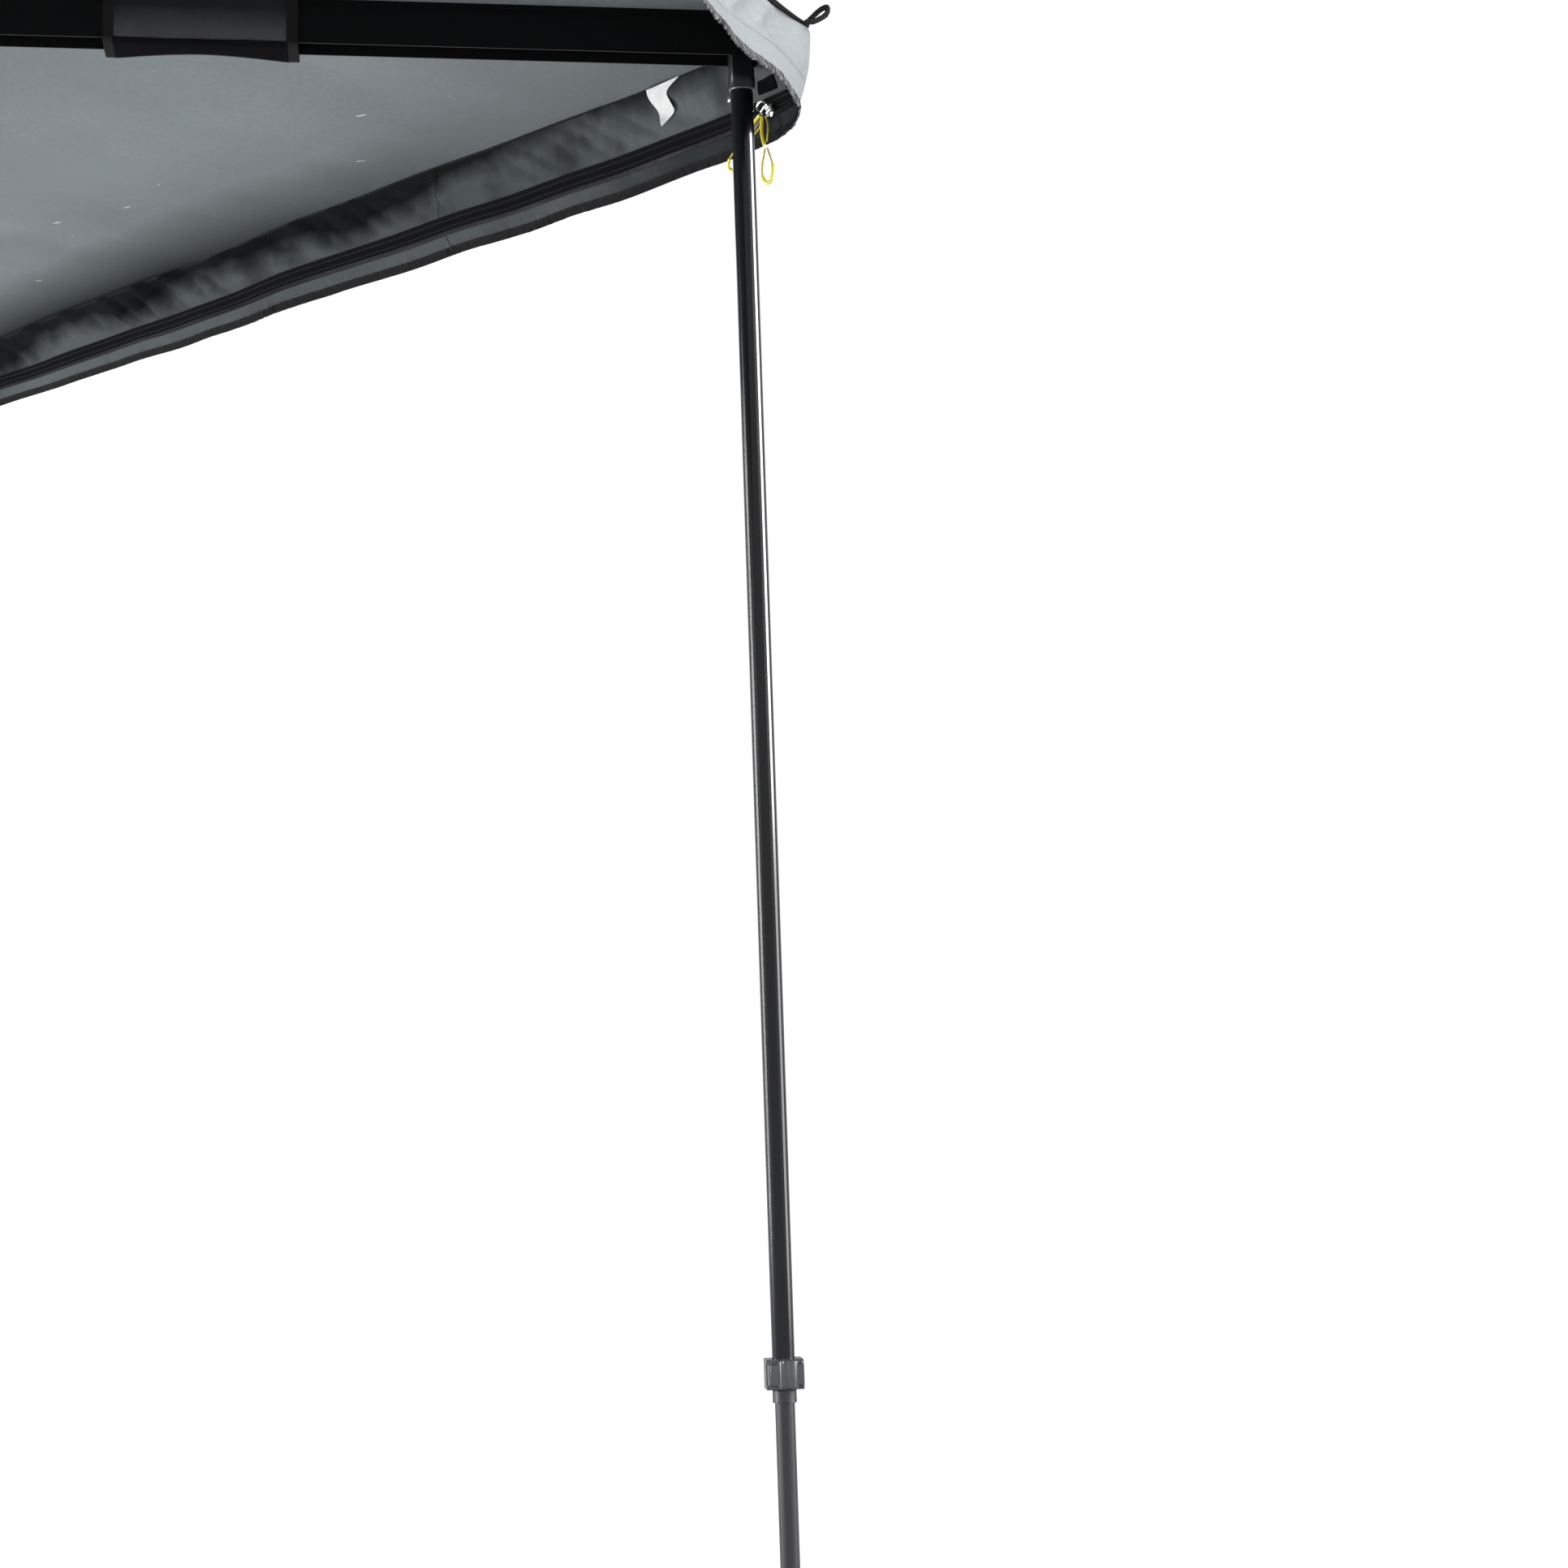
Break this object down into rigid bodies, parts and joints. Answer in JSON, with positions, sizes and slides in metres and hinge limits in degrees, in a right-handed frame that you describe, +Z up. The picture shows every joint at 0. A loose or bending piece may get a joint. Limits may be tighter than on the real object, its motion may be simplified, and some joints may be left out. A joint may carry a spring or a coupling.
{
  "type": "vehicle side awning",
  "caption": "Fan-shaped vehicle side awning: a rail with a hub, swinging channel arms, a fabric canopy with a zipped valance, and telescopic legs that fold up into the arms.",
  "frame": {"origin": "centre of the underside of the rear rack bracket's foot", "axes": "+X along the rail away from the hub, +Y out from the vehicle, +Z up"},
  "size_m": [4.9255, 2.4244, 2.1505],
  "materials": {
    "arm_black": "black satin powder coat on aluminium",
    "leg_black": "black satin anodised tube",
    "bare_steel": "zinc plated steel",
    "hinge_metal": "dark grey painted casting",
    "black_plastic": "black moulded nylon",
    "foot_rubber": "black rubber",
    "canopy_canvas": "grey coated ripstop canvas",
    "strap_webbing": "black polyester webbing",
    "cover_fabric": "black PVC coated cover cloth",
    "zip_metal": "nickel zip slider"
  },
  "bodies": {
    "root": {"backing_rail": "arm_black", "rack_bracket_rear": "arm_black", "bracket_stud_plate_rear": "bare_steel", "rack_bracket_front": "arm_black", "bracket_stud_plate_front": "bare_steel", "hub_yoke": "arm_black", "kingpin": "bare_steel", "kingpin_nut": "bare_steel", "thrust_washer_bottom": "black_plastic", "thrust_washer_top": "black_plastic", "rolled_cover_bag": "cover_fabric", "bag_strap_rear": "strap_webbing", "bag_strap_front": "strap_webbing", "arm_channel_0": "arm_black", "arm_end_cap_0": "black_plastic", "canopy_0_outer": "canopy_canvas"},
    "arm_1": {"arm_channel_1": "arm_black", "arm_end_cap_1": "black_plastic", "hinge_block_1": "hinge_metal", "hinge_bolt_1": "bare_steel", "leg_pivot_bolt_1": "bare_steel", "leg_keeper_1": "canopy_canvas", "canopy_1_inner": "canopy_canvas", "canopy_1_outer": "canopy_canvas"},
    "arm_2": {"arm_channel_2": "arm_black", "arm_end_cap_2": "black_plastic", "hinge_block_2": "hinge_metal", "hinge_bolt_2": "bare_steel", "leg_pivot_bolt_2": "bare_steel", "leg_keeper_2": "canopy_canvas", "canopy_2_inner": "canopy_canvas", "canopy_2_outer": "canopy_canvas"},
    "arm_3": {"arm_channel_3": "arm_black", "arm_end_cap_3": "black_plastic", "hinge_block_3": "hinge_metal", "hinge_bolt_3": "bare_steel", "leg_pivot_bolt_3": "bare_steel", "leg_keeper_3": "canopy_canvas", "canopy_3_inner": "canopy_canvas"},
    "leg_1": {"leg_knuckle_1": "black_plastic", "leg_upper_tube_1": "leg_black", "leg_clamp_1": "black_plastic"},
    "leg_tube_1": {"leg_lower_tube_1": "leg_black", "leg_foot_1": "foot_rubber"},
    "clamp_lever_1": {"clamp_lever_1": "black_plastic"},
    "leg_2": {"leg_knuckle_2": "black_plastic", "leg_upper_tube_2": "leg_black", "leg_clamp_2": "black_plastic"},
    "leg_tube_2": {"leg_lower_tube_2": "leg_black", "leg_foot_2": "foot_rubber"},
    "clamp_lever_2": {"clamp_lever_2": "black_plastic"},
    "leg_3": {"leg_knuckle_3": "black_plastic", "leg_upper_tube_3": "leg_black", "leg_clamp_3": "black_plastic"},
    "leg_tube_3": {"leg_lower_tube_3": "leg_black", "leg_foot_3": "foot_rubber"},
    "clamp_lever_3": {"clamp_lever_3": "black_plastic"},
    "zip_slider_1": {"zip_slider_1": "zip_metal"},
    "zip_slider_2": {"zip_slider_2": "zip_metal"},
    "zip_slider_3": {"zip_slider_3": "zip_metal"}
  },
  "joints": [
    {"name": "arm_swing_1", "type": "hinge", "parent": "root", "child": "arm_1", "pos_m": [-0.5, 0.2026, 0.045], "axis": [0, 0, 1], "range_deg": [-60, 0], "deforming": ["canopy_0_outer", "canopy_1_inner"]},
    {"name": "arm_swing_2", "type": "hinge", "parent": "arm_1", "child": "arm_2", "pos_m": [-0.5, 0.2026, 0.045], "axis": [0, 0, 1], "range_deg": [-60, 0], "deforming": ["canopy_1_outer", "canopy_2_inner"]},
    {"name": "arm_swing_3", "type": "hinge", "parent": "arm_2", "child": "arm_3", "pos_m": [-0.5, 0.2026, 0.045], "axis": [0, 0, 1], "range_deg": [-60, 0], "deforming": ["canopy_2_outer", "canopy_3_inner"]},
    {"name": "leg_fold_1", "type": "hinge", "parent": "arm_1", "child": "leg_1", "pos_m": [0.71558, 2.24204, 0.0415], "axis": [0.866, -0.5, 0], "range_deg": [-91.8, 10], "deforming": ["leg_keeper_1"]},
    {"name": "leg_slide_1", "type": "slide", "parent": "leg_1", "child": "leg_tube_1", "axis": [0.0157, 0.0272, -0.9995], "range_m": [-0.47, 0.35]},
    {"name": "clamp_lever_1", "type": "hinge", "parent": "leg_1", "child": "clamp_lever_1", "pos_m": [0.74309, 2.2621, -1.45826], "axis": [0.0157, 0.0272, -0.9995], "range_deg": [0, 120]},
    {"name": "leg_fold_2", "type": "hinge", "parent": "arm_2", "child": "leg_2", "pos_m": [-1.71558, 2.24204, 0.0415], "axis": [0.866, 0.5, 0], "range_deg": [-91.8, 10], "deforming": ["leg_keeper_2"]},
    {"name": "leg_slide_2", "type": "slide", "parent": "leg_2", "child": "leg_tube_2", "axis": [-0.0157, 0.0272, -0.9995], "range_m": [-0.47, 0.35]},
    {"name": "clamp_lever_2", "type": "hinge", "parent": "leg_2", "child": "clamp_lever_2", "pos_m": [-1.71919, 2.2759, -1.45826], "axis": [-0.0157, 0.0272, -0.9995], "range_deg": [0, 120]},
    {"name": "leg_fold_3", "type": "hinge", "parent": "arm_3", "child": "leg_3", "pos_m": [-2.874, 0.1036, 0.0415], "axis": [0, 1, 0], "range_deg": [-91.8, 10], "deforming": ["leg_keeper_3"]},
    {"name": "leg_slide_3", "type": "slide", "parent": "leg_3", "child": "leg_tube_3", "axis": [-0.0314, 0, -0.9995], "range_m": [-0.47, 0.35]},
    {"name": "clamp_lever_3", "type": "hinge", "parent": "leg_3", "child": "clamp_lever_3", "pos_m": [-2.90512, 0.1174, -1.45826], "axis": [-0.0314, 0, -0.9995], "range_deg": [0, 120]},
    {"name": "zip_slide_1", "type": "slide", "parent": "arm_1", "child": "zip_slider_1", "axis": [0.477, -0.8789, 0], "range_m": [0, 1.1]},
    {"name": "zip_slide_2", "type": "slide", "parent": "arm_1", "child": "zip_slider_2", "axis": [-1, 0, 0], "range_m": [0, 1.1]},
    {"name": "zip_slide_3", "type": "slide", "parent": "arm_2", "child": "zip_slider_3", "axis": [-0.477, -0.8789, 0], "range_m": [0, 1.1]}
  ]
}
